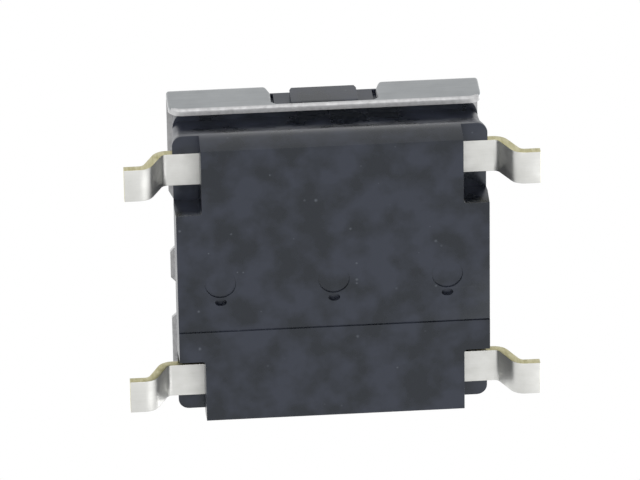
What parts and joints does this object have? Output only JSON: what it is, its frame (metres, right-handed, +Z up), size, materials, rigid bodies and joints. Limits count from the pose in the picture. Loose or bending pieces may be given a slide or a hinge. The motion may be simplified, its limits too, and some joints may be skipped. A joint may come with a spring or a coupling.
{
  "type": "tactile push button switch",
  "caption": "Surface-mount tactile switch: a short plunger under a stamped cover presses a snap disc onto contacts that end in gull-wing leads.",
  "frame": {"origin": "on the circuit board's surface, under the middle of the body", "axes": "+X towards one pair of lead tips, +Y towards the back flange of the cover, +Z up out of the plunger"},
  "size_m": [0.0078, 0.006, 0.0031],
  "materials": {
    "base_plastic": "moulded black thermoplastic, satin",
    "cover_steel": "stamped stainless sheet, satin",
    "terminal_plating": "silver-plated brass strip with bare sheared edges",
    "disc_steel": "plated spring steel",
    "plunger_plastic": "moulded black thermoplastic, matt"
  },
  "bodies": {
    "housing": {"base": "base_plastic", "cover": "cover_steel", "terminal_front": "terminal_plating", "terminal_back": "terminal_plating", "contact_disc": "disc_steel"},
    "plunger": {"plunger": "plunger_plastic"}
  },
  "joints": [
    {"name": "plunger_press", "type": "slide", "parent": "housing", "child": "plunger", "axis": [0, 0, 1], "range_m": [-0.00025, 0], "stiffness_N_per_m": 5000, "deforming": ["contact_disc"]}
  ]
}
